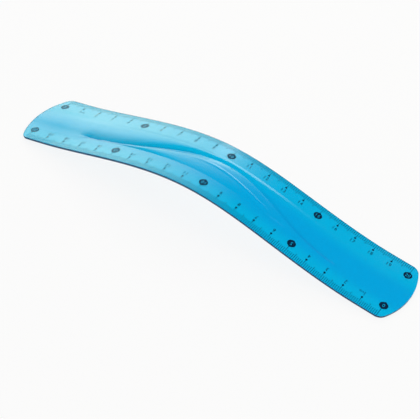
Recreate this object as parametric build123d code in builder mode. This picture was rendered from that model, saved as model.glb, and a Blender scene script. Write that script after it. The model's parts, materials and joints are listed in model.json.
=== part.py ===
from build123d import *
import math
import os

os.makedirs("parts", exist_ok=True)

# A flexible plastic ruler with two printed 20 cm scales, bent into a low arch.
# Lengths are millimetres, angles are degrees.
# x runs from the left end to the right end, y from the near edge to the far edge, z is up.
# The origin lies on the table, under the middle of the arch.
# A place is a distance along the strip, counted from the far scale's zero mark.

# Printed scales
centimetre = 10.0
centimetre_count = 20
ticks_per_centimetre = 10
centimetres_per_disc = 5

# Strip
width = 40.0
end_margin = 7.3
end_radius = 40.0
corner_radius = 5.0
edge_thickness = 1.0
band_thickness = 1.7
middle_thickness = 2.0
near_band_width = 11.5
far_band_width = 10.5

# Moulded relief in the raised middle: a crease arches across it, and a softer swell lies inside it
ridge_setback = 0.9
ridge_bow_share = 0.45
crease_ridge_gap = 0.7
crease_wall = 0.6
crease_depth = 0.6
crease_setback = 1.8
crease_reach = 75.0
swell_setback = 0.9
swell_rise_share = 0.57
swell_reach = 50.0

# Bending lines, one in each centimetre, between two ticks
bend_gap = 0.3
bend_line_share = 0.45
spans_per_link = 2

# The bend at rest: how far a bending line turns the strip down, at four places on the scale
rest_turn_place_shares = (0.0, 0.475, 0.725, 1.0)
rest_turns = (-3.8, 5.7, -0.3, -4.1)

# Ink
ink_thickness = 0.05
ink_inset = 0.15
tick_width = 0.2
short_tick_inset = 3.4
middle_tick_inset = 4.5
dot_inset = 5.2
dot_diameter = 1.0
disc_inset = 7.7
disc_width = 4.1
disc_height = 4.9
numeral_inset = 7.2
numeral_height = 2.3
numeral_width = 1.25
numeral_gap = 0.55
numeral_stroke = 0.24
disc_numeral_height = 1.9
disc_numeral_width = 1.0
disc_numeral_gap = 0.5
disc_numeral_stroke = 0.36
unit_height = 1.5
unit_width = 0.95
unit_gap = 0.5

# Pen strokes of the figures. Each has its points as shares of the figure's width and height,
# and the radius of each corner as a share of the smaller of that width and half that height.
# A stroke with a radius for each of its points is a closed loop.
figure_shares = {
    "0": [([(0, 0), (1, 0), (1, 1), (0, 1)], [0.46, 0.46, 0.46, 0.46])],
    "1": [([(0.15, 0.76), (0.6, 1), (0.6, 0)], [0])],
    "2": [([(0, 0.74), (0, 1), (1, 1), (1, 0.56), (0, 0), (1, 0)], [0.42, 0.42, 0.3, 0])],
    "3": [
        ([(0, 0.82), (0, 1), (1, 1), (1, 0.54), (0.4, 0.54)], [0.3, 0.38, 0.38]),
        ([(0.4, 0.54), (1, 0.54), (1, 0), (0, 0), (0, 0.2)], [0.4, 0.4, 0.32]),
    ],
    "4": [([(0.74, 1), (0, 0.3), (1, 0.3)], [0]), ([(0.74, 0), (0.74, 1)], [])],
    "5": [([(0.92, 1), (0.1, 1), (0.1, 0.6), (1, 0.6), (1, 0), (0, 0), (0, 0.2)],
           [0, 0, 0.44, 0.44, 0.32])],
    "6": [([(0.92, 0.84), (0.92, 1), (0, 1), (0, 0), (1, 0), (1, 0.58), (0, 0.58)],
           [0.22, 0.46, 0.46, 0.44, 0.44])],
    "7": [([(0, 1), (1, 1), (0.36, 0)], [0])],
    "8": [
        ([(0.06, 0.54), (0.94, 0.54), (0.94, 1), (0.06, 1)], [0.36, 0.36, 0.36, 0.36]),
        ([(0, 0), (1, 0), (1, 0.54), (0, 0.54)], [0.42, 0.42, 0.42, 0.42]),
    ],
    "9": [([(0.08, 0.16), (0.08, 0), (1, 0), (1, 1), (0, 1), (0, 0.42), (1, 0.42)],
           [0.22, 0.46, 0.46, 0.44, 0.44])],
    "c": [([(1, 0.72), (1, 1), (0, 1), (0, 0), (1, 0), (1, 0.28)], [0.3, 0.46, 0.46, 0.3])],
    "m": [
        ([(-0.2, 0), (-0.2, 1), (0.5, 1), (0.5, 0)], [0, 0.3]),
        ([(0.5, 0.5), (0.5, 1), (1.2, 1), (1.2, 0)], [0, 0.3]),
    ],
}

# Worked out from the sizes above
scale_length = centimetre * centimetre_count
half_width = width / 2
half_length = scale_length / 2 + end_margin
bend_height = middle_thickness / 2
ridge_inset = width - far_band_width - ridge_setback
crease_start = near_band_width + crease_setback
crease_rise = ridge_inset - crease_ridge_gap - crease_wall - crease_start
swell_start = near_band_width + swell_setback
swell_rise = swell_rise_share * crease_rise
ridge_bow = ridge_bow_share * (ridge_inset - crease_start - crease_wall)
shoulder_setback = end_radius - math.sqrt(end_radius**2 - half_width**2)
disc_radius = disc_width / 2
touch_angle = math.acos(disc_width / disc_height)
touch_x = disc_radius * math.sin(touch_angle)
touch_y = disc_radius * math.cos(touch_angle)
bend_count = centimetre_count - 2
bend_places = [centimetre * (index + 1 + bend_line_share) for index in range(bend_count)]


def rest_turn(place):
    """Angle by which the bending line at this place turns the strip down at rest."""
    share = place / scale_length
    starts = zip(rest_turn_place_shares, rest_turns)
    ends = zip(rest_turn_place_shares[1:], rest_turns[1:])
    for (start, start_turn), (end, end_turn) in zip(starts, ends):
        if start <= share <= end:
            return start_turn + (end_turn - start_turn) * (share - start) / (end - start)


class Link:
    """A straight length of the strip, between two bending lines."""

    def __init__(self, number, start, end, anchor, corner, heading):
        self.number = number
        self.start = start
        self.end = end
        self.anchor = anchor
        self.corner = corner
        self.along = Vector(math.cos(heading), 0, math.sin(heading))
        self.up = Vector(-math.sin(heading), 0, math.cos(heading))

    def point(self, place, across, height):
        """The point at a place, a distance across from the middle line, above the underside."""
        forward = self.along * (place - self.anchor)
        return self.corner + forward + self.up * (height - bend_height) + Vector(0, across, 0)


def lay_out_links(heading, corner):
    """The links from left to right, each turned from the last at their bending line."""
    borders = [-end_margin] + bend_places + [scale_length + end_margin]
    row = []
    for index in range(bend_count + 1):
        if index > 0:
            heading -= math.radians(rest_turn(bend_places[index - 1]))
        if index > 1:
            corner = corner + row[-1].along * centimetre
        anchor = bend_places[max(index - 1, 0)]
        start = borders[index] + (bend_gap / 2 if index > 0 else 0)
        end = borders[index + 1] - (bend_gap / 2 if index < bend_count else 0)
        row.append(Link(index + 1, start, end, anchor, corner, heading))
    return row


def tips(row, height):
    """Both tips of the strip, at a height above its underside."""
    return row[0].point(row[0].start, 0, height), row[-1].point(row[-1].end, 0, height)


# Both tips rest on the table, and the strip's length is centred over the origin
left, right = tips(lay_out_links(0, Vector(0, 0, 0)), 0)
slope = math.atan2(right.Z - left.Z, right.X - left.X)
level_row = lay_out_links(-slope, Vector(0, 0, 0))
table_height = tips(level_row, 0)[0].Z
left, right = tips(level_row, middle_thickness)
links = lay_out_links(-slope, Vector(-(left.X + right.X) / 2, 0, -table_height))


def arch_share(distance, reach):
    """Height of a smooth arch, from 1 in its middle to 0 at its reach."""
    return math.cos(math.pi / 2 * min(abs(distance) / reach, 1)) ** 2


def section_points(place):
    """Corners of the strip's cross-section: distance across, and height above the underside."""
    distance = place - scale_length / 2
    crease_share = arch_share(distance, crease_reach)
    crease = crease_start + crease_rise * crease_share
    swell = swell_start + swell_rise * arch_share(distance, swell_reach)
    ridge = ridge_inset - ridge_bow * abs(distance / half_length) ** 3
    corners = [
        (0, 0),
        (0, edge_thickness),
        (near_band_width, band_thickness),
        (swell, band_thickness),
        (crease, middle_thickness - crease_depth * crease_share),
        (crease + crease_wall, middle_thickness),
        (ridge, middle_thickness),
        (width - far_band_width, band_thickness),
        (width, edge_thickness),
        (width, 0),
    ]
    return [(inset - half_width, height) for inset, height in corners]


def band_plane(link, side, mark_place):
    """Face of a scale's sloping band, with x along its rising numbers and y out over the edge."""
    band_width = far_band_width if side > 0 else near_band_width
    tilt = math.atan2(band_thickness - edge_thickness, band_width)
    normal = link.up * math.cos(tilt) + Vector(0, side * math.sin(tilt), 0)
    edge_point = link.point(mark_place, side * half_width, edge_thickness)
    return Plane(edge_point, x_dir=link.along * side, z_dir=normal)


def place_of(mark, side):
    """Where a centimetre mark lies. The near scale is the far one, turned half a turn."""
    return centimetre * mark if side > 0 else scale_length - centimetre * mark


def tick_inset(tick):
    """How far a tick reaches in from the edge."""
    if tick % (ticks_per_centimetre * centimetres_per_disc) == 0:
        return disc_inset - disc_height / 2
    if tick % ticks_per_centimetre == 0:
        return dot_inset
    if tick % (ticks_per_centimetre // 2) == 0:
        return middle_tick_inset
    return short_tick_inset


def pen_strokes(text, start, bottom, figure_width, figure_height, gap):
    """Points and corner radii of the strokes that write a text from its lower left corner."""
    radius_unit = min(figure_width, figure_height / 2)
    strokes = []
    for index, figure in enumerate(text):
        left_side = start + index * (figure_width + gap)
        for points, radii in figure_shares[figure]:
            path = [(left_side + x * figure_width, bottom + y * figure_height) for x, y in points]
            strokes.append((path, [radius * radius_unit for radius in radii]))
    return strokes


def plain_number(mark):
    """Strokes of a number printed on the clear strip. The first one has its unit beside it."""
    text = str(mark)
    start = -(len(text) * (numeral_width + numeral_gap) - numeral_gap) / 2
    bottom = -numeral_inset - numeral_height / 2
    strokes = pen_strokes(text, start, bottom, numeral_width, numeral_height, numeral_gap)
    if mark == 1:
        unit_start = numeral_width / 2 + unit_gap
        strokes += pen_strokes("cm", unit_start, bottom, unit_width, unit_height, unit_gap)
    return strokes


def disc_number(mark):
    """Strokes of a number left bare in a disc."""
    text = str(mark)
    start = -(len(text) * (disc_numeral_width + disc_numeral_gap) - disc_numeral_gap) / 2
    bottom = -disc_inset - disc_numeral_height / 2
    return pen_strokes(text, start, bottom, disc_numeral_width, disc_numeral_height,
                       disc_numeral_gap)


for link in links:
    number = f"{link.number:02d}"

    # Moulded strip: cross-sections joined lengthwise, the end links cut to their round outline
    with BuildPart() as strip:
        for span in range(spans_per_link + 1):
            place = link.start + (link.end - link.start) * span / spans_per_link
            with BuildSketch(Plane(link.point(place, 0, 0), x_dir=(0, 1, 0), z_dir=link.along)):
                with BuildLine():
                    Polyline(section_points(place), close=True)
                make_face()
        loft(ruled=True)
        if link in (links[0], links[-1]):
            side = 1 if link is links[-1] else -1
            tip = link.end if side > 0 else link.start
            inner_end = link.start - link.end
            tip_plane = Plane(link.point(tip, 0, 0), x_dir=link.along * side, z_dir=link.up)
            with BuildSketch(tip_plane) as outline:
                with BuildLine():
                    Polyline((-shoulder_setback, half_width), (inner_end, half_width),
                             (inner_end, -half_width), (-shoulder_setback, -half_width))
                    ThreePointArc((-shoulder_setback, -half_width), (0, 0),
                                  (-shoulder_setback, half_width))
                make_face()
                fillet(outline.vertices().group_by(Axis.X)[-1], corner_radius)
            extrude(amount=middle_thickness, mode=Mode.INTERSECT)
    strip.part.label = f"strip_{number}"
    export_step(strip.part, f"parts/strip_{number}.step")

    # Printed ticks of both scales, with a dot at each centimetre that has no disc
    with BuildPart() as ticks:
        for side in (1, -1):
            with BuildSketch(band_plane(link, side, link.anchor)):
                for tick in range(centimetre_count * ticks_per_centimetre + 1):
                    tick_place = place_of(tick / ticks_per_centimetre, side)
                    if not link.start < tick_place < link.end:
                        continue
                    x = side * (tick_place - link.anchor)
                    with Locations((x, -ink_inset)):
                        Rectangle(tick_width, tick_inset(tick) - ink_inset,
                                  align=(Align.CENTER, Align.MAX))
                    if tick_inset(tick) == dot_inset:
                        with Locations((x, -dot_inset)):
                            Circle(dot_diameter / 2)
            extrude(amount=ink_thickness)
    ticks.part.label = f"ticks_{number}"
    export_step(ticks.part, f"parts/ticks_{number}.step")

    # Printed numbers: plain ones, and each fifth one left bare in a pointed disc
    with BuildPart() as figures:
        for side in (1, -1):
            for mark in range(centimetre_count + 1):
                mark_place = place_of(mark, side)
                if not link.start < mark_place < link.end:
                    continue
                has_disc = mark % centimetres_per_disc == 0
                strokes = disc_number(mark) if has_disc else plain_number(mark)
                pen_width = disc_numeral_stroke if has_disc else numeral_stroke
                with BuildSketch(band_plane(link, side, mark_place)):
                    if has_disc:
                        with Locations((0, -disc_inset)):
                            Circle(disc_radius)
                            Polygon((0, disc_height / 2), (-touch_x, touch_y),
                                    (-touch_x, -touch_y), (0, -disc_height / 2),
                                    (touch_x, -touch_y), (touch_x, touch_y), align=None)
                    for path, radii in strokes:
                        with BuildLine():
                            if radii:
                                FilletPolyline(path, radius=radii, close=len(radii) == len(path))
                            else:
                                Polyline(path)
                        trace(line_width=pen_width, mode=Mode.SUBTRACT if has_disc else Mode.ADD)
                extrude(amount=ink_thickness)
    figures.part.label = f"figures_{number}"
    export_step(figures.part, f"parts/figures_{number}.step")
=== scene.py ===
import json
import math

import bmesh
import bpy
from mathutils import Matrix, Vector


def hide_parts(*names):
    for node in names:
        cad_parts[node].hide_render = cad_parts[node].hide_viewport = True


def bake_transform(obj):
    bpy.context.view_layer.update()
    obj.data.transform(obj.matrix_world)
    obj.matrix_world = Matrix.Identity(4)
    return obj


# A clear blue flexible ruler, bent into a low arch on a pale table.
# Every piece is first laid out flat: x is the place along the far scale, y the distance in from
# the near edge. Then it is laid on the bent strip, whose middle line follows the CAD joints.

mm = 0.001
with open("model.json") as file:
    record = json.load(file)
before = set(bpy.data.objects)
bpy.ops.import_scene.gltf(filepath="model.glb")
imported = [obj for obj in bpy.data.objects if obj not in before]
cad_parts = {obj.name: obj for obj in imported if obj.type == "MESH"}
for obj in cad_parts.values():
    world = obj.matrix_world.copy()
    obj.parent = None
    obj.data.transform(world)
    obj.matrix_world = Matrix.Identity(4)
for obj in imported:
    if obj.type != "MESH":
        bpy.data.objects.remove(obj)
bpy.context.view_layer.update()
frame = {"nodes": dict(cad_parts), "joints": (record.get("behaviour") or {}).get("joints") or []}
print("Frame loaded:", len(frame["nodes"]), "nodes")


# An output of a node. Python operators on it add Math nodes.
class Value:
    def __init__(self, tree, socket):
        self.tree = tree
        self.socket = socket

    def math(self, operation, *others):
        return self.tree.math(operation, self, *others)

    def __add__(self, other):
        return self.math("ADD", other)

    def __sub__(self, other):
        return self.math("SUBTRACT", other)

    def __mul__(self, other):
        return self.math("MULTIPLY", other)

    def __truediv__(self, other):
        return self.math("DIVIDE", other)

    def __pow__(self, other):
        return self.math("POWER", other)

    def __mod__(self, other):
        return self.math("FLOORED_MODULO", other)

    def __gt__(self, other):
        return self.math("GREATER_THAN", other)

    def __lt__(self, other):
        return self.math("LESS_THAN", other)

    def __abs__(self):
        return self.math("ABSOLUTE")

    def __radd__(self, other):
        return self.math("ADD", other)

    def __rmul__(self, other):
        return self.math("MULTIPLY", other)

    def __rsub__(self, other):
        return self.tree.math("SUBTRACT", other, self)

    def atLeast(self, other):
        return self.math("MAXIMUM", other)

    def atMost(self, other):
        return self.math("MINIMUM", other)

    def clamped(self):
        return self.atLeast(0).atMost(1)

    def cosine(self):
        return self.math("COSINE")

    def sine(self):
        return self.math("SINE")

    def root(self):
        return self.math("SQRT")

    def eased(self):
        return self * self * (3 - 2 * self)


# A node tree of any kind. One method adds any node, and the others are short forms of it.
class Tree:
    def __init__(self, nodeTree):
        self.nodeTree = nodeTree

    def node(self, kind, settings=None, inputs=None, output=0):
        made = self.nodeTree.nodes.new(kind)
        for name, setting in (settings or {}).items():
            setattr(made, name, setting)
        for key, item in (inputs or {}).items():
            if isinstance(item, Value):
                self.nodeTree.links.new(item.socket, made.inputs[key])
            else:
                made.inputs[key].default_value = item
        return Value(self, made.outputs[output]) if made.outputs else made

    def other(self, value, output):
        return Value(self, value.socket.node.outputs[output])

    def math(self, operation, *items):
        return self.node("ShaderNodeMath", {"operation": operation}, dict(enumerate(items)))

    def vector(self, x, y, z):
        return self.node("ShaderNodeCombineXYZ", None, {"X": x, "Y": y, "Z": z})

    def split(self, vector):
        parts = self.node("ShaderNodeSeparateXYZ", None, {"Vector": vector})
        return parts, self.other(parts, 1), self.other(parts, 2)

    def vectorMath(self, operation, *items):
        return self.node("ShaderNodeVectorMath", {"operation": operation}, dict(enumerate(items)))

    def scaled(self, vector, factor):
        inputs = {"Vector": vector, "Scale": factor}
        return self.node("ShaderNodeVectorMath", {"operation": "SCALE"}, inputs)

    def mixColours(self, factor, first, second):
        return self.node("ShaderNodeMix", {"data_type": "RGBA"}, {0: factor, 6: first, 7: second}, 2)

    def joined(self, *parts):
        whole = self.node("GeometryNodeJoinGeometry")
        for part in parts:
            self.nodeTree.links.new(part.socket, whole.socket.node.inputs[0])
        return whole


socketKinds = {float: "NodeSocketFloat", int: "NodeSocketInt"}


# A Geometry Nodes group. Its number inputs carry the values of a settings dictionary.
def newGroup(name, sizes, others=(), outputs=(("Geometry", "NodeSocketGeometry"),)):
    group = bpy.data.node_groups.new(name, "GeometryNodeTree")
    for label, kind in others:
        group.interface.new_socket(label, in_out="INPUT", socket_type=kind)
    for label, size in sizes.items():
        socket = group.interface.new_socket(label, in_out="INPUT", socket_type=socketKinds[type(size)])
        socket.default_value = size
    for label, kind in outputs:
        group.interface.new_socket(label, in_out="OUTPUT", socket_type=kind)
    tree = Tree(group)
    start = tree.node("NodeGroupInput")
    given = {}
    for label in [label for label, kind in others] + list(sizes):
        given[label] = tree.other(start, label)
    return group, tree, given


def runModifier(body, group, given, name):
    modifier = body.modifiers.new(group.name, "NODES")
    modifier.node_group = group
    for socket in group.interface.items_tree:
        if socket.in_out == "INPUT" and socket.name in given:
            modifier[socket.identifier] = given[socket.name]
    bpy.context.view_layer.update()
    depsgraph = bpy.context.evaluated_depsgraph_get()
    mesh = bpy.data.meshes.new_from_object(body.evaluated_get(depsgraph))
    mesh.name = name
    body.modifiers.remove(modifier)
    return mesh


def newObject(name, data):
    made = bpy.data.objects.new(name, data)
    bpy.context.scene.collection.objects.link(made)
    return made


# Main sizes of the strip, as in the CAD
strip = {
    "Scale Length": 200 * mm,
    "Width": 40 * mm,
    "End Margin": 7.3 * mm,
    "End Radius": 40 * mm,
    "Corner Radius": 5 * mm,
    "Bend Height": 1 * mm,
    "Link Length": 10 * mm,
    "First Joint": 14.5 * mm,
}
linkLength = strip["Link Length"]
fullLength = strip["Scale Length"] + 2 * strip["End Margin"]
lineOrder = 3  # with order 3 the middle line touches each link in its middle
lineSteps = 24


# The bending lines, from left to right, in the plane of the middle line
def jointPlaces():
    places = sorted(joint["pos_m"] for joint in frame["joints"])
    return [Vector((x, 0, z)) for x, y, z in places]


# How steeply an end link comes down, so that its underside meets the table at the tip
def endHeading(joint, reach):
    slant = math.hypot(reach, strip["Bend Height"])
    return math.asin(joint.z / slant) - math.atan2(strip["Bend Height"], reach)


def drawMiddleLine():
    joints = jointPlaces()
    leftReach = strip["First Joint"] + strip["End Margin"]
    rightReach = fullLength - leftReach - linkLength * (len(joints) - 1)
    leftAngle = endHeading(joints[0], leftReach)
    rightAngle = endHeading(joints[-1], rightReach)
    leftWay = Vector((-math.cos(leftAngle), 0, -math.sin(leftAngle)))
    rightWay = Vector((math.cos(rightAngle), 0, -math.sin(rightAngle)))
    points = [joints[0] + leftWay * leftReach, joints[0] + leftWay * linkLength, *joints]
    points += [joints[-1] + rightWay * linkLength, joints[-1] + rightWay * rightReach]
    curve = bpy.data.curves.new("middleLine", "CURVE")
    curve.dimensions = "3D"
    spline = curve.splines.new("NURBS")
    spline.points.add(len(points) - 1)
    for target, point in zip(spline.points, points):
        target.co = (*point, 1)
    spline.order_u = lineOrder
    spline.use_endpoint_u = True
    spline.resolution_u = lineSteps
    return newObject("middleLine", curve), joints, leftWay, rightWay


middleLine, joints, leftWay, rightWay = drawMiddleLine()
cellCount = len(joints)
cellBorders = [strip["First Joint"] + linkLength * (index - 0.5) for index in range(1, cellCount)]
cellBorders = [-fullLength, *cellBorders, 2 * fullLength]  # the outer two lie beyond the ends


# Top surface of the strip: how high it is above the underside at a place and an inset

relief = {
    "Edge Thickness": 1.0 * mm,
    "Band Thickness": 1.7 * mm,
    "Middle Thickness": 2.0 * mm,
    "Near Band": 12.8 * mm,
    "Near Bow": 4.5 * mm,
    "Near Slope": 0.016,
    "End Loss": 0.35,
    "Far Band": 10.5 * mm,
    "Ridge Setback": 2.9 * mm,
    "Ridge Bow": 5.0 * mm,
    "Crease Start": 13.0 * mm,
    "Crease Rise": 13.2 * mm,
    "Crease Top": 104.5 * mm,
    "Crease Reach": 85 * mm,
    "Crease Middle": 98.3 * mm,
    "Crease Half": 76 * mm,
    "Crease Fade": 9 * mm,
    "Crease Dig": 0.34 * mm,
    "Crease Rounding": 0.6 * mm,
    "End Rounding": 8.0 * mm,
    "End Lead": 5.0 * mm,
    "Least Slope": 2.2 * mm,
    # Width of the painted shade along the crease
    "Crease Shade": 0.9 * mm,
    "Swell Start": 12.9 * mm,
    "Swell Rise": 8.1 * mm,
    "Swell Top": 97 * mm,
    "Swell Reach": 71 * mm,
    "Swell Height": 0.36 * mm,
    "Bead Height": 0.12 * mm,
    "Bead Width": 0.9 * mm,
    "Bead Middle": 116 * mm,
    "Bead Reach": 32 * mm,
}
swellOpens = 4.0  # how quickly the swell reaches its full height along the arch
flattensFrom = 0.45  # share of the half length at which the ends start to flatten
leastGap = 0.1 * mm  # keeps the shares of narrow forms finite


# 1 at the top of an arch, falling smoothly to 0 at its reach
def archShare(distance, reach):
    return (abs(distance / reach).atMost(1) * (math.pi / 2)).cosine() ** 2


def buildSurfaceGroup():
    outputs = (("Height", "NodeSocketFloat"), ("Painted Shade", "NodeSocketFloat"))
    places = (("Place", "NodeSocketFloat"), ("Inset", "NodeSocketFloat"))
    group, tree, size = newGroup("stripSurface", {**strip, **relief}, places, outputs)
    place = size["Place"]
    inset = size["Inset"]
    halfScale = size["Scale Length"] / 2
    endShare = abs((place - halfScale) / (halfScale + size["End Margin"]))
    flattening = ((endShare - flattensFrom) / (1 - flattensFrom)).clamped() ** 2

    # The far band, and the ridge where the raised middle begins
    farShare = ((size["Width"] - inset) / size["Far Band"]).clamped()
    ridgeFoot = size["Width"] - size["Far Band"]
    ridgeWidth = size["Ridge Setback"] + size["Ridge Bow"] * endShare ** 3
    ridgeShare = ((ridgeFoot - inset) / ridgeWidth).clamped().eased()
    ridgeRise = (size["Middle Thickness"] - size["Band Thickness"]) * (1 - flattening)
    bandRise = (size["Band Thickness"] - size["Edge Thickness"]) * (1 - size["End Loss"] * flattening)
    middleTop = size["Edge Thickness"] + bandRise + ridgeRise
    farSide = size["Edge Thickness"] + bandRise * farShare + ridgeRise * ridgeShare

    # The near band
    nearBand = size["Near Band"] - size["Near Bow"] * flattening
    nearRise = size["Near Slope"] * nearBand
    nearSide = size["Edge Thickness"] + size["Near Slope"] * inset.atMost(nearBand)

    # The lines of the crease and of the swell inside it, and the thin bead along the swell
    creaseArch = archShare(place - size["Crease Top"], size["Crease Reach"]) ** 2
    crease = size["Crease Start"] + size["Crease Rise"] * creaseArch
    fromMiddle = abs(place - size["Crease Middle"])
    opening = ((size["Crease Half"] - fromMiddle) / size["Crease Fade"]).clamped().eased()
    swellShare = archShare(place - size["Swell Top"], size["Swell Reach"]) ** 2
    swell = size["Swell Start"] + size["Swell Rise"] * swellShare
    toSwell = ((inset - size["Near Band"]) / (swell - size["Near Band"]).atLeast(leastGap)).clamped()
    toCrease = ((inset - swell) / (crease - swell).atLeast(leastGap)).clamped() ** 2
    swellHeight = size["Swell Height"] * (swellShare * swellOpens).clamped()
    swellRise = swellHeight * (1 - (1 - toSwell) ** 2) * (1 - toCrease)
    bead = (1 - ((inset - swell) / size["Bead Width"]) ** 2).clamped()
    bead = bead * archShare(place - size["Bead Middle"], size["Bead Reach"]).root()

    # The slope from the crease up to the ridge, steep at its foot and level at its top
    rounding = size["End Rounding"] + (size["Crease Rounding"] - size["End Rounding"]) * opening
    lead = size["End Lead"] + (size["Crease Rounding"] - size["End Lead"]) * opening
    slopeStart = crease - lead
    slopeLength = (ridgeFoot - ridgeWidth - slopeStart).atLeast(size["Least Slope"])
    along = ((inset - slopeStart) / slopeLength).clamped()
    steepest = rounding / slopeLength
    isPast = along > steepest
    before = along ** 2 / steepest
    past = 1 - (1 - along) ** 2 / (1 - steepest)
    slopeShare = before + (past - before) * isPast
    dig = size["Crease Dig"] * opening * (1 - creaseArch)
    slopeRise = middleTop - size["Edge Thickness"] - nearRise + dig
    beadRise = size["Bead Height"] * bead
    middle = nearSide + swellRise + beadRise + slopeRise * slopeShare - dig * toCrease

    height = farSide + middle - middleTop
    # Painted shade: a dark line along the crease, which the plastic's finish mixes into its colour
    paintedShade = (1 - abs(inset - crease) / size["Crease Shade"]).clamped() * opening * (1 - creaseArch)
    tree.node("NodeGroupOutput", None, {"Height": height, "Painted Shade": paintedShade})
    return group


# Lays flat geometry on the bent strip. Its z is counted from the underside.
# The flatSpot attribute keeps its place and inset for the finishes. The third number is the share
# of painted crease shade times a millimetre, which is too small to move a pattern.
def buildBendGroup():
    others = (("Geometry", "NodeSocketGeometry"), ("Middle Line", "NodeSocketObject"),
              ("Painted Shade", "NodeSocketFloat"))
    group, tree, size = newGroup("ontoStrip", strip, others)
    place, inset, height = tree.split(tree.node("GeometryNodeInputPosition"))
    spot = tree.vector(place, inset, size["Painted Shade"] * mm)
    marked = tree.node("GeometryNodeStoreNamedAttribute",
                       {"data_type": "FLOAT_VECTOR", "domain": "POINT"},
                       {"Geometry": size["Geometry"], "Name": "flatSpot", "Value": spot})
    line = tree.node("GeometryNodeObjectInfo", None, {"Object": size["Middle Line"]}, "Geometry")
    sample = tree.node("GeometryNodeSampleCurve", {"mode": "LENGTH", "use_all_curves": False},
                       {"Curves": line, "Length": place + size["End Margin"]}, "Position")
    tangent = tree.vectorMath("NORMALIZE", tree.other(sample, "Tangent"))
    up = tree.vectorMath("CROSS_PRODUCT", tangent, (0, 1, 0))
    across = tree.vector(0, inset - size["Width"] / 2, 0)
    raised = tree.scaled(up, height - size["Bend Height"])
    position = tree.vectorMath("ADD", tree.vectorMath("ADD", sample, across), raised)
    bent = tree.node("GeometryNodeSetPosition", None, {"Geometry": marked, "Position": position})
    tree.node("NodeGroupOutput", None, {"Geometry": bent})
    return group


surfaceGroup = buildSurfaceGroup()
bendGroup = buildBendGroup()


def layOnStrip(tree, geometry, line, paintedShade):
    return tree.node("GeometryNodeGroup", {"node_tree": bendGroup},
                     {"Geometry": geometry, "Middle Line": line, "Painted Shade": paintedShade})


def surfaceAt(tree, place, inset):
    height = tree.node("GeometryNodeGroup", {"node_tree": surfaceGroup},
                       {"Place": place, "Inset": inset})
    return height, tree.other(height, "Painted Shade")


# Finishes. The colours belong to the see-through bands, the raised middle between them, the painted
# shade of the crease and the moulded edge. The bands and the middle are painted lighter at the left
# end, as painted light.

plasticLook = {
    "bandColour": (0.0, 0.48, 0.80, 1),
    # The left colours are the same plastic painted lighter: painted light at the left end
    "leftBandPaintedLightColour": (0.0, 0.54, 0.80, 1),
    "middleColour": (0.0, 0.41, 0.79, 1),
    "leftMiddlePaintedLightColour": (0.0, 0.50, 0.80, 1),
    # Colour and share of the painted shade along the crease
    "paintedCreaseShadeColour": (0.0, 0.22, 0.60, 1),
    "paintedCreaseShadeShare": 0.5,
    "edgeColour": (0.0, 0.10, 0.27, 1),
    "edgeTransmission": 0.6,
    "clearColour": (0.6, 0.9, 1.0, 1),
    "edgeRoughness": 0.2,
    "roughness": 0.10,
    "roughnessSpread": 0.05,
    "transmission": 0.93,
    "refraction": 1.45,
    "flowScale": 40,
    "flowDetail": 3,
    "flowStretch": (0.25, 1, 1),
    "flowBump": 0.04,
    "flowHeight": 1 * mm,
    # Where the painted light at the left end fades out
    "paintedLightFadesFrom": 50 * mm,
    "paintedLightFadesOver": 90 * mm,
    "nearMiddleFrom": 5 * mm,
    "nearMiddleOver": 8 * mm,
    "farMiddleFrom": 10 * mm,
    "farMiddleOver": 9 * mm,
    "rimWidth": 1.2 * mm,
    "rimShare": 0.5,
}


def newMaterial(name):
    material = bpy.data.materials.new(name)
    material.use_nodes = True
    material.node_tree.nodes.clear()
    return material, Tree(material.node_tree)


def finishMaterial(tree, sockets):
    shader = tree.node("ShaderNodeBsdfPrincipled", None, sockets)
    tree.node("ShaderNodeOutputMaterial", None, {"Surface": shader})


def flatSpot(tree):
    spot = tree.node("ShaderNodeAttribute", {"attribute_name": "flatSpot"}, None, "Vector")
    return (spot, *tree.split(spot))


def makePlastic():
    look = plasticLook
    material, tree = newMaterial("clearBluePlastic")
    spot, place, inset, paintedShade = flatSpot(tree)
    farInset = strip["Width"] - inset
    nearShare = ((inset - look["nearMiddleFrom"]) / look["nearMiddleOver"]).clamped().eased()
    farShare = ((farInset - look["farMiddleFrom"]) / look["farMiddleOver"]).clamped().eased()
    middle = nearShare * farShare
    # Painted light: the bands and the middle are lighter at the left end, fading out to the right
    paintedLightFade = ((place - look["paintedLightFadesFrom"]) / look["paintedLightFadesOver"]).clamped().eased()
    band = tree.mixColours(paintedLightFade, look["leftBandPaintedLightColour"], look["bandColour"])
    centre = tree.mixColours(paintedLightFade, look["leftMiddlePaintedLightColour"], look["middleColour"])
    colour = tree.mixColours(middle, band, centre)
    # Painted shade darkens the colour along the crease
    colour = tree.mixColours((paintedShade / mm).clamped() * look["paintedCreaseShadeShare"], colour, look["paintedCreaseShadeColour"])
    rim = (1 - inset / look["rimWidth"]).clamped() ** 2
    colour = tree.mixColours(rim * look["rimShare"], colour, look["paintedCreaseShadeColour"])
    stretched = tree.node("ShaderNodeMapping", None, {"Vector": spot, "Scale": look["flowStretch"]})
    flow = tree.node("ShaderNodeTexNoise", None, {
        "Vector": stretched, "Scale": look["flowScale"], "Detail": look["flowDetail"],
    })
    roughness = look["roughness"] + look["roughnessSpread"] * flow
    bump = tree.node("ShaderNodeBump", None, {
        "Height": flow, "Strength": look["flowBump"], "Distance": look["flowHeight"],
    })
    finishMaterial(tree, {
        "Base Color": colour, "Roughness": roughness, "Normal": bump,
        "Transmission Weight": look["transmission"], "IOR": look["refraction"],
    })
    return material


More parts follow.
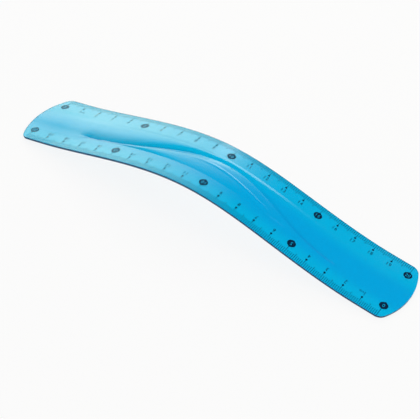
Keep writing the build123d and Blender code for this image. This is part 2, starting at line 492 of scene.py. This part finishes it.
# The sides are dark from outside and clear from inside
def makeEdge():
    look = plasticLook
    material, tree = newMaterial("blueMouldedEdge")
    inside = tree.node("ShaderNodeNewGeometry", None, None, "Backfacing")
    colour = tree.mixColours(inside, look["edgeColour"], look["clearColour"])
    finishMaterial(tree, {
        "Base Color": colour, "Roughness": look["edgeRoughness"],
        "Transmission Weight": look["edgeTransmission"], "IOR": look["refraction"],
    })
    return material


# The end faces where two cells meet don't show
def makeSeam():
    material, tree = newMaterial("unseenSeam")
    finishMaterial(tree, {"Alpha": 0.0, "Base Color": (1, 1, 1, 1), "IOR": 1.0})
    return material


# The ink covers less towards the left end, as painted sheen that washes it out there
inkLook = {
    "colour": (0.0, 0.008, 0.045, 1),
    "wornColour": (0.0, 0.035, 0.10, 1),
    "mottleScale": 2500,
    "mottleDetail": 2,
    "roughness": 0.4,
    "roughnessSpread": 0.1,
    "refraction": 1.45,
    "gloss": 0.05,
    # Ink cover at the left end, where painted sheen washes the ink out
    "paintedSheenCover": 0.45,
    "cover": 0.97,
    "paintedSheenUpTo": 60 * mm,
    "paintedSheenGoneFrom": 150 * mm,
}


def makeInk():
    material, tree = newMaterial("navyInk")
    look = inkLook
    spot, place = flatSpot(tree)[:2]
    mottle = tree.node("ShaderNodeTexNoise", None, {
        "Vector": spot, "Scale": look["mottleScale"], "Detail": look["mottleDetail"],
    })
    colour = tree.mixColours(mottle, look["colour"], look["wornColour"])
    roughness = look["roughness"] + look["roughnessSpread"] * mottle
    # Painted sheen: the ink covers less towards the left end
    paintedSheenFade = ((place - look["paintedSheenUpTo"]) / (look["paintedSheenGoneFrom"] - look["paintedSheenUpTo"])).clamped()
    cover = look["paintedSheenCover"] + (look["cover"] - look["paintedSheenCover"]) * paintedSheenFade
    finishMaterial(tree, {
        "Base Color": colour, "Roughness": roughness, "IOR": look["refraction"],
        "Specular IOR Level": look["gloss"], "Alpha": cover,
    })
    return material


plastic = makePlastic()
edge = makeEdge()
seam = makeSeam()
ink = makeInk()
print("Finishes made")


# The moulded strip, one closed cell round each joint. Its columns gather towards the long edges,
# and the rows of an end cell towards both of its ends.

stripCell = {
    "Start": 0.0,
    "End": 0.1,
    "Rows": 25,
    "Columns": 210,
    "Row Gather": 0.0,
    "Column Gather": 0.8,
    "Top Round": 0.22 * mm,
    "Under Round": 0.12 * mm,
}
endCellRows = 90
endRowGather = 0.85
weldDistance = 1e-5  # in the flat grid of 1 by 1 that each cell starts from
rowTolerance = 1e-3  # as a share of the rows
sharpAngle = math.radians(50)


def gathered(share, amount):
    return share - amount * (share * (2 * math.pi)).sine() / (2 * math.pi)


# How far the rounded end lies inside the full length. Its corners are arcs of their own.
def endSetback(inset, size):
    offCentre = abs(inset - size["Width"] / 2)
    cornerMiddle = size["Width"] / 2 - size["Corner Radius"]
    innerRadius = size["End Radius"] - size["Corner Radius"]
    cornerSetback = size["End Radius"] - (innerRadius ** 2 - cornerMiddle ** 2).root()
    meeting = cornerMiddle * size["End Radius"] / innerRadius
    arc = size["End Radius"] - (size["End Radius"] ** 2 - offCentre ** 2).atLeast(0).root()
    pastMiddle = (offCentre - cornerMiddle).atLeast(0)
    corner = cornerSetback - (size["Corner Radius"] ** 2 - pastMiddle ** 2).atLeast(0).root()
    isCorner = offCentre > meeting
    return arc + (corner - arc) * isCorner


def buildCellGroup():
    others = (("Geometry", "NodeSocketGeometry"), ("Middle Line", "NodeSocketObject"))
    group, tree, size = newGroup("stripCell", {**strip, **stripCell}, others)
    grid = tree.node("GeometryNodeMeshGrid", None, {
        "Size X": 1.0, "Size Y": 1.0, "Vertices X": size["Rows"], "Vertices Y": size["Columns"],
    })
    upper = tree.node("GeometryNodeExtrudeMesh", {"mode": "FACES"},
                      {"Mesh": grid, "Offset": (0, 0, 1), "Offset Scale": 1.0, "Individual": False})
    side = tree.other(upper, "Side")
    sided = tree.node("GeometryNodeStoreNamedAttribute", {"data_type": "BOOLEAN", "domain": "FACE"},
                      {"Geometry": upper, "Name": "side", "Value": side})
    lower = tree.node("GeometryNodeFlipFaces", None, {"Mesh": grid})
    closed = tree.node("GeometryNodeMergeByDistance", None,
                       {"Geometry": tree.joined(sided, lower), "Distance": weldDistance})

    along, across, level = tree.split(tree.node("GeometryNodeInputPosition"))
    isTop = level > 0.5
    alongShare = along + 0.5
    inset = gathered(across + 0.5, size["Column Gather"]) * size["Width"]
    setback = endSetback(inset, size)
    leftRim = setback - size["End Margin"]
    rightRim = size["Scale Length"] + size["End Margin"] - setback
    low = leftRim.atLeast(size["Start"])
    high = rightRim.atMost(size["End"])
    place = low + (high - low) * gathered(alongShare, size["Row Gather"])

    isSide = tree.node("GeometryNodeInputNamedAttribute", {"data_type": "BOOLEAN"}, {"Name": "side"})
    atStart = (alongShare < rowTolerance) * (size["Start"] > leftRim)
    atEnd = (alongShare > 1 - rowTolerance) * (size["End"] < rightRim)
    isSeam = atStart + atEnd
    faced = tree.node("GeometryNodeSetMaterial", None, {"Geometry": closed, "Material": plastic})
    for chosen, material in ((isSide, edge), (isSide * isSeam, seam)):
        faced = tree.node("GeometryNodeSetMaterial", None,
                          {"Geometry": faced, "Selection": chosen, "Material": material})

    rimDistance = inset.atMost(size["Width"] - inset)
    rimDistance = rimDistance.atMost((place - leftRim).atMost(rightRim - place))
    surface = surfaceAt(tree, place, inset)[0]

    def rounded(radius):
        share = (1 - rimDistance / radius).clamped()
        return radius * (1 - (1 - share * share).atLeast(0).root())

    top = surface - rounded(size["Top Round"])
    under = rounded(size["Under Round"])
    height = under + (top - under) * isTop
    flat = tree.node("GeometryNodeSetPosition", None,
                     {"Geometry": faced, "Position": tree.vector(place, inset, height)})
    # The painted crease shade at each point, passed on for the plastic's finish
    paintedShade = surfaceAt(tree, *tree.split(tree.node("GeometryNodeInputPosition"))[:2])[1]
    bent = layOnStrip(tree, flat, size["Middle Line"], paintedShade)
    isSharp = tree.node("GeometryNodeInputMeshEdgeAngle") > sharpAngle
    smooth = tree.node("GeometryNodeSetShadeSmooth", {"domain": "FACE"},
                       {"Geometry": bent, "Shade Smooth": True})
    smooth = tree.node("GeometryNodeSetShadeSmooth", {"domain": "EDGE"},
                       {"Geometry": smooth, "Selection": isSharp, "Shade Smooth": False})
    real = tree.node("GeometryNodeRealizeInstances", None, {"Geometry": smooth})
    tree.node("NodeGroupOutput", None, {"Geometry": real})
    return group


cellGroup = buildCellGroup()


# For the pieces on these bending lines, counted from the left, placePiece swaps the right link and
# the left one, and their ends, but nothing uses the swap. Bent the other way round, rounding opens a
# step beside them when every joint is at its limit.
linesBentFromRight = (6, 13)


def placePiece(piece, index, node):
    first, second = f"link_{index + 1:02d}", f"link_{index + 2:02d}"
    before = joints[index - 1] if index > 0 else joints[0] + leftWay * linkLength
    after = joints[index + 1] if index + 1 < cellCount else joints[-1] + rightWay * linkLength
    start, end = (joints[index] + before) / 2, (joints[index] + after) / 2
    if index + 1 in linesBentFromRight:
        first, second, start, end = second, first, end, start
    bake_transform(piece)
    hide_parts(f"{node}_{index + 1:02d}")
    if index + 1 == cellCount:
        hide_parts(f"{node}_{index + 2:02d}")


def numbered(name, index):
    return f"{name}_{index + 1:02d}"


def cellInputs(index):
    return {"Middle Line": middleLine, "Start": cellBorders[index], "End": cellBorders[index + 1]}


seed = newObject("cellSeed", bpy.data.meshes.new("cellSeed"))
for index in range(cellCount):
    given = cellInputs(index)
    if index in (0, cellCount - 1):
        given |= {"Rows": endCellRows, "Row Gather": endRowGather}
    name = numbered("moulding", index)
    cell = newObject(name, runModifier(seed, cellGroup, given, name))
    placePiece(cell, index, "strip")
print("Strip moulded in", cellCount, "cells")


# Printed ticks and dots of both scales

ticks = {
    "Start": 0.0,
    "End": 0.1,
    "Tick Count": 201,
    "Ticks Per Middle": 5,
    "Ticks Per Mark": 10,
    "Ticks Per Disc": 50,
    "Tick Gap": 1 * mm,
    "Tick Width": 0.22 * mm,
    "Edge Gap": 0.28 * mm,
    "Short Inset": 3.4 * mm,
    "Middle Inset": 4.5 * mm,
    "Dot Inset": 5.2 * mm,
    "Disc Tick Inset": 5.3 * mm,
    "Dot Diameter": 1.1 * mm,
    "Dot Sides": 24,
    "Bar Rows": 4,
    "Ink Depth": 0.01 * mm,
    "Ink Height": 0.04 * mm,
}


def buildTickGroup():
    others = (("Geometry", "NodeSocketGeometry"), ("Middle Line", "NodeSocketObject"))
    group, tree, size = newGroup("printedTicks", {**strip, **ticks}, others)
    thickness = size["Ink Depth"] + size["Ink Height"]
    line = tree.node("GeometryNodeMeshLine", None,
                     {"Count": size["Tick Count"], "Offset": tree.vector(size["Tick Gap"], 0, 0)})
    count = tree.node("GeometryNodeInputIndex")
    isMiddle = (count % size["Ticks Per Middle"]) < 0.5
    isMark = (count % size["Ticks Per Mark"]) < 0.5
    isDisc = (count % size["Ticks Per Disc"]) < 0.5
    reach = size["Short Inset"] + (size["Middle Inset"] - size["Short Inset"]) * isMiddle
    reach = reach + (size["Dot Inset"] - size["Middle Inset"]) * isMark
    reach = reach + (size["Disc Tick Inset"] - size["Dot Inset"]) * isDisc
    place = count * size["Tick Gap"]
    isInside = (place > size["Start"]) * (place < size["End"])
    bar = tree.node("GeometryNodeMeshCube", None,
                    {"Size": (1, 1, 1), "Vertices Y": size["Bar Rows"]})
    length = reach - size["Edge Gap"]
    bars = tree.node("GeometryNodeInstanceOnPoints", None, {
        "Points": line, "Selection": isInside, "Instance": bar,
        "Scale": tree.vector(size["Tick Width"], length, thickness),
    })
    dot = tree.node("GeometryNodeMeshCylinder", None,
                    {"Vertices": size["Dot Sides"], "Radius": 0.5, "Depth": 1.0})
    dots = tree.node("GeometryNodeInstanceOnPoints", None, {
        "Points": line, "Selection": isInside * isMark * (1 - isDisc), "Instance": dot,
        "Scale": tree.vector(size["Dot Diameter"], size["Dot Diameter"], thickness),
    })
    middle = (size["Ink Height"] - size["Ink Depth"]) / 2
    bars = tree.node("GeometryNodeTranslateInstances", None, {
        "Instances": bars, "Translation": tree.vector(0, size["Edge Gap"] + length / 2, middle),
        "Local Space": False,
    })
    dots = tree.node("GeometryNodeTranslateInstances", None, {
        "Instances": dots, "Translation": tree.vector(0, size["Dot Inset"], middle),
        "Local Space": False,
    })
    real = tree.node("GeometryNodeRealizeInstances", None, {"Geometry": tree.joined(bars, dots)})
    x, y, z = tree.split(tree.node("GeometryNodeInputPosition"))
    mirrored = tree.node("GeometryNodeSetPosition", None,
                         {"Geometry": real, "Position": tree.vector(x, size["Width"] - y, z)})
    farScale = tree.node("GeometryNodeFlipFaces", None, {"Mesh": mirrored})
    finishPrint(tree, tree.joined(real, farScale), size["Middle Line"])
    return group


# Lifts flat print onto the top surface, lays it on the strip and inks it
def finishPrint(tree, geometry, line):
    place, inset, lift = tree.split(tree.node("GeometryNodeInputPosition"))
    surface = surfaceAt(tree, place, inset)[0]
    onSurface = tree.node("GeometryNodeSetPosition", None,
                          {"Geometry": geometry, "Position": tree.vector(place, inset, surface + lift)})
    bent = layOnStrip(tree, onSurface, line, 0.0)
    real = tree.node("GeometryNodeRealizeInstances", None, {"Geometry": bent})
    inked = tree.node("GeometryNodeSetMaterial", None, {"Geometry": real, "Material": ink})
    tree.node("NodeGroupOutput", None, {"Geometry": inked})


tickGroup = buildTickGroup()
for index in range(cellCount):
    name = numbered("scale_ticks", index)
    row = newObject(name, runModifier(seed, tickGroup, cellInputs(index), name))
    placePiece(row, index, "ticks")
print("Ticks printed")


# Printed numbers, and each fifth one left bare in a pointed disc

figures = {
    "centimetre": 10 * mm,
    "centimetreCount": 20,
    "centimetresPerDisc": 5,
    "inset": 7.8 * mm,
    "textSize": 3.1 * mm,
    "narrowing": 0.86,
    "spacing": 1.12,
    "unitSize": 1.9 * mm,
    "unitGap": 0.5 * mm,
    "discInset": 7.7 * mm,
    "discWidth": 4.3 * mm,
    "discHeight": 5.0 * mm,
    "discTextSize": 2.9 * mm,
    "arcSteps": 48,
    "curveSteps": 5,
    "sliceWidth": 0.5 * mm,
    "weldDistance": 0.001 * mm,
    "cutTolerance": 0.0001 * mm,
}
inkThickness = ticks["Ink Depth"] + ticks["Ink Height"]


def textSplines(body, size):
    data = bpy.data.curves.new("figureText", "FONT")
    data.body = body
    data.size = size
    data.align_x = "CENTER"
    data.align_y = "CENTER"
    data.space_character = figures["spacing"]
    data.resolution_u = figures["curveSteps"]
    carrier = newObject("figureText", data)
    bpy.context.view_layer.update()
    shape = carrier.to_curve(bpy.context.evaluated_depsgraph_get())
    outlines = []
    for spline in shape.splines:
        outlines.append([(tuple(p.co), tuple(p.handle_left), tuple(p.handle_right))
                         for p in spline.bezier_points])
    carrier.to_curve_clear()
    bpy.data.objects.remove(carrier)
    return outlines


# Each point of an outline is its own place and its two handles
def extent(outlines):
    xs = [point[0][0] for outline in outlines for point in outline]
    ys = [point[0][1] for outline in outlines for point in outline]
    return min(xs), max(xs), min(ys), max(ys)


def centred(outlines, narrowing=1, shift=(0, 0)):
    left, right, low, high = extent(outlines)
    middleX, middleY = (left + right) / 2, (low + high) / 2
    return [[[((x - middleX) * narrowing + shift[0], y - middleY + shift[1], 0) for x, y, z in point]
             for point in outline] for outline in outlines]


# A circle that runs out in straight lines to a point at the top and another at the bottom
def discOutline():
    radius = figures["discWidth"] / 2
    touch = math.acos(figures["discWidth"] / figures["discHeight"])
    steps = figures["arcSteps"] // 2
    points = []
    for middle in (0, math.pi):
        sweep = math.pi / 2 - touch
        for step in range(steps + 1):
            angle = middle - sweep + 2 * sweep * step / steps
            points.append((radius * math.cos(angle), radius * math.sin(angle)))
        points.append((0, math.copysign(figures["discHeight"] / 2, math.pi / 2 - middle)))
    return points


def filledMesh(outlines, polygons=()):
    data = bpy.data.curves.new("figureShape", "CURVE")
    data.dimensions = "2D"
    data.fill_mode = "BOTH"
    data.extrude = inkThickness / 2
    data.resolution_u = figures["curveSteps"]
    for outline in outlines:
        spline = data.splines.new("BEZIER")
        spline.bezier_points.add(len(outline) - 1)
        spline.use_cyclic_u = True
        for target, (middle, before, after) in zip(spline.bezier_points, outline):
            target.handle_left_type = target.handle_right_type = "FREE"
            target.co, target.handle_left, target.handle_right = middle, before, after
    for polygon in polygons:
        spline = data.splines.new("POLY")
        spline.points.add(len(polygon) - 1)
        spline.use_cyclic_u = True
        for target, (x, y) in zip(spline.points, polygon):
            target.co = (x, y, 0, 1)
    carrier = newObject("figureShape", data)
    bpy.context.view_layer.update()
    depsgraph = bpy.context.evaluated_depsgraph_get()
    mesh = bpy.data.meshes.new_from_object(carrier.evaluated_get(depsgraph))
    bpy.data.objects.remove(carrier)
    return mesh


def unitBeside(outlines):
    right, low = extent(outlines)[1:3]
    unit = textSplines("cm", figures["unitSize"])
    unitLeft, unitRight, unitLow, unitHigh = extent(unit)
    halfWidth, halfHeight = (unitRight - unitLeft) / 2, (unitHigh - unitLow) / 2
    return centred(unit, shift=(right + figures["unitGap"] + halfWidth, low + halfHeight))


def figureMesh(mark):
    isDisc = mark % figures["centimetresPerDisc"] == 0
    size = figures["discTextSize"] if isDisc else figures["textSize"]
    outlines = centred(textSplines(str(mark), size), figures["narrowing"])
    if isDisc:
        return filledMesh(outlines, [discOutline()]), figures["discInset"]
    if mark == 1:
        outlines += unitBeside(outlines)
    return filledMesh(outlines), figures["inset"]


# Both scales as one flat sheet. The near scale is turned half a turn.
def printFigures():
    sheet = bmesh.new()
    length = figures["centimetre"] * figures["centimetreCount"]
    lift = (ticks["Ink Height"] - ticks["Ink Depth"]) / 2
    for mark in range(figures["centimetreCount"] + 1):
        mesh, inset = figureMesh(mark)
        place = figures["centimetre"] * mark
        farSpot = Matrix.Translation((place, strip["Width"] - inset, lift))
        nearSpot = Matrix.Translation((length - place, inset, lift))
        nearSpot = nearSpot @ Matrix.Rotation(math.pi, 4, "Z")
        for spot in (farSpot, nearSpot):
            copy = mesh.copy()
            copy.transform(spot)
            sheet.from_mesh(copy)
            bpy.data.meshes.remove(copy)
        bpy.data.meshes.remove(mesh)
    bmesh.ops.remove_doubles(sheet, verts=sheet.verts, dist=figures["weldDistance"])
    return sheet


# Cuts across at a place, and clears what lies before or after it
def cutAt(piece, place, clear=None):
    geometry = [*piece.verts, *piece.edges, *piece.faces]
    cut = bmesh.ops.bisect_plane(
        piece, geom=geometry, dist=figures["cutTolerance"], plane_co=(place, 0, 0), plane_no=(1, 0, 0),
        clear_inner=clear == "before", clear_outer=clear == "after")
    if clear:
        rim = [item for item in cut["geom_cut"] if isinstance(item, bmesh.types.BMEdge)]
        bmesh.ops.holes_fill(piece, edges=rim)


# The figures of one cell, in narrow slices that can follow the bend
def sliceFigures(sheet, start, end):
    piece = sheet.copy()
    cutAt(piece, start, "before")
    cutAt(piece, end, "after")
    low = max(start, -figures["centimetre"])
    high = min(end, figures["centimetre"] * (figures["centimetreCount"] + 1))
    steps = round((high - low) / figures["sliceWidth"])
    for step in range(1, steps):
        cutAt(piece, low + (high - low) * step / steps)
    bmesh.ops.triangulate(piece, faces=[face for face in piece.faces if len(face.verts) > 4])
    mesh = bpy.data.meshes.new("slicedFigures")
    piece.to_mesh(mesh)
    piece.free()
    return mesh


def buildFigureGroup():
    others = (("Geometry", "NodeSocketGeometry"), ("Middle Line", "NodeSocketObject"))
    group, tree, size = newGroup("printedFigures", {}, others)
    finishPrint(tree, size["Geometry"], size["Middle Line"])
    return group


figureGroup = buildFigureGroup()
figureSheet = printFigures()
for index in range(cellCount):
    name = numbered("scale_figures", index)
    slices = sliceFigures(figureSheet, cellBorders[index], cellBorders[index + 1])
    flat = newObject("flatFigures", slices)
    row = newObject(name, runModifier(flat, figureGroup, {"Middle Line": middleLine}, name))
    bpy.data.objects.remove(flat)
    placePiece(row, index, "figures")
figureSheet.free()
bpy.data.objects.remove(seed)
bpy.data.objects.remove(middleLine)
print("Figures printed")


# Table, light and camera

studio = {
    "floorSize": 3.0,
    "floorColour": (0.9, 0.9, 0.9, 1),
    "cleanShare": 0.88,
    "ambient": (0.62, 0.62, 0.62, 1),
    "horizon": (0.25, 0.25, 0.25, 1),
    "ceiling": (0.03, 0.03, 0.03, 1),
    "horizonTop": 0.1,
    "ceilingStart": 0.5,
}


# Rays that see the floor as plain white. The camera sees it so in part, which keeps the shadow.
def whiteRays(tree, cameraShare):
    rays = tree.node("ShaderNodeLightPath", None, None, "Is Camera Ray")
    seen = tree.other(rays, "Is Glossy Ray") + tree.other(rays, "Is Transmission Ray")
    return (rays * cameraShare + seen).clamped()


def layFloor():
    half = studio["floorSize"] / 2
    corners = [(-half, -half, 0), (half, -half, 0), (half, half, 0), (-half, half, 0)]
    mesh = bpy.data.meshes.new("tableTop")
    mesh.from_pydata(corners, [], [(0, 1, 2, 3)])
    material, tree = newMaterial("paleTable")
    matt = tree.node("ShaderNodeBsdfDiffuse", None, {"Color": studio["floorColour"]})
    white = tree.node("ShaderNodeEmission", None, {"Color": (1, 1, 1, 1), "Strength": 1.0})
    clean = whiteRays(tree, studio["cleanShare"])
    mixed = tree.node("ShaderNodeMixShader", None, {0: clean, 1: matt, 2: white})
    tree.node("ShaderNodeOutputMaterial", None, {"Surface": mixed})
    mesh.materials.append(material)
    floor = newObject("tableTop", mesh)


# Glossy rays see a dim room, darker overhead. Camera and transmission rays see plain white, and all
# other rays an even grey.
def lightRoom():
    world = bpy.data.worlds.new("studio")
    world.use_nodes = True
    world.node_tree.nodes.clear()
    tree = Tree(world.node_tree)
    rise = tree.split(tree.node("ShaderNodeTexCoord", None, None, "Generated"))[2]
    fade = (rise - studio["horizonTop"]) / (studio["ceilingStart"] - studio["horizonTop"])
    room = tree.mixColours(fade.clamped().eased(), studio["horizon"], studio["ceiling"])
    rays = tree.node("ShaderNodeLightPath", None, None, "Is Camera Ray")
    colour = tree.mixColours(tree.other(rays, "Is Glossy Ray"), studio["ambient"], room)
    clear = (rays + tree.other(rays, "Is Transmission Ray")).clamped()
    colour = tree.mixColours(clear, colour, (1, 1, 1, 1))
    background = tree.node("ShaderNodeBackground", None, {"Color": colour, "Strength": 1.0})
    tree.node("ShaderNodeOutputWorld", None, {"Surface": background})
    bpy.context.scene.world = world


# Where each lamp stands as seen from the ruler, in degrees from the far side and above the table,
# its sizes in metres, and the share of each half over which it fades
softboxes = {
    "leftSoftbox": {
        "azimuth": -45.4, "elevation": 18.7, "roll": 46.6,
        "distance": 1.2, "width": 2.4, "height": 0.746,
        "radiance": 2.95, "softness": 0.8, "colour": (1.0, 0.94, 0.71),
    },
    "backStrip": {
        "azimuth": -13, "elevation": 29, "roll": 0,
        "distance": 1.4, "width": 0.7, "height": 0.3,
        "radiance": 2.7, "softness": 0.5, "colour": (1.0, 1.0, 1.0),
    },
    "topLight": {
        "azimuth": 60, "elevation": 65, "roll": 0,
        "distance": 1.6, "width": 0.8, "height": 0.8,
        "radiance": 1.5, "softness": 0.5, "colour": (1.0, 1.0, 1.0),
    },
}


def addSoftbox(name, look):
    turn, rise, roll = (math.radians(look[key]) for key in ("azimuth", "elevation", "roll"))
    back = Vector((math.sin(turn) * math.cos(rise), math.cos(turn) * math.cos(rise), math.sin(rise)))
    level = Vector((-math.cos(turn), math.sin(turn), 0))
    lift = back.cross(level)
    across = level * math.cos(roll) - lift * math.sin(roll)
    along = back.cross(across)
    light = bpy.data.lights.new(name, "AREA")
    light.shape = "RECTANGLE"
    light.size = look["width"]
    light.size_y = look["height"]
    light.energy = look["radiance"] * math.pi * look["width"] * look["height"]
    light.color = look["colour"]
    light.use_nodes = True
    light.node_tree.nodes.clear()
    tree = Tree(light.node_tree)
    spot = tree.split(tree.node("ShaderNodeNewGeometry", None, None, "Parametric"))
    falloff = 1
    for share in spot[:2]:
        falloff = ((1 - abs(share * 2 - 1)) / look["softness"]).clamped().eased() * falloff
    brightness = tree.mixColours(falloff, (0, 0, 0, 1), (1, 1, 1, 1))
    glow = tree.node("ShaderNodeEmission", None, {"Color": brightness, "Strength": 1})
    tree.node("ShaderNodeOutputLight", None, {"Surface": glow})
    box = newObject(name, light)
    box.matrix_world = Matrix((
        (across.x, along.x, back.x, back.x * look["distance"]),
        (across.y, along.y, back.y, back.y * look["distance"]),
        (across.z, along.z, back.z, back.z * look["distance"]),
        (0, 0, 0, 1),
    ))
    box.visible_camera = False
    box.visible_transmission = False


camera = {
    "place": (0.2190, -0.42356, 0.39738),
    "azimuth": 27.46,
    "elevation": 40.1,
    "roll": 7.99,
    "lens": 111.3,
    "sensor": 36.0,
    "nearest": 0.01,
    "farthest": 20,
}


def aimCamera():
    azimuth, elevation, roll = (math.radians(camera[name]) for name in ("azimuth", "elevation", "roll"))
    back = Vector((math.sin(azimuth) * math.cos(elevation), -math.cos(azimuth) * math.cos(elevation),
                   math.sin(elevation)))
    level = Vector((math.cos(azimuth), math.sin(azimuth), 0))
    upright = back.cross(level)
    right = level * math.cos(roll) + upright * math.sin(roll)
    up = upright * math.cos(roll) - level * math.sin(roll)
    data = bpy.data.cameras.new("camera")
    data.lens = camera["lens"]
    data.sensor_width = camera["sensor"]
    data.clip_start = camera["nearest"]
    data.clip_end = camera["farthest"]
    body = newObject("camera", data)
    body.matrix_world = Matrix((
        (right.x, up.x, back.x, camera["place"][0]),
        (right.y, up.y, back.y, camera["place"][1]),
        (right.z, up.z, back.z, camera["place"][2]),
        (0, 0, 0, 1),
    ))
    bpy.context.scene.camera = body


layFloor()
lightRoom()
for name, look in softboxes.items():
    addSoftbox(name, look)
aimCamera()
bpy.context.scene.view_settings.view_transform = "Standard"
print("Studio set")
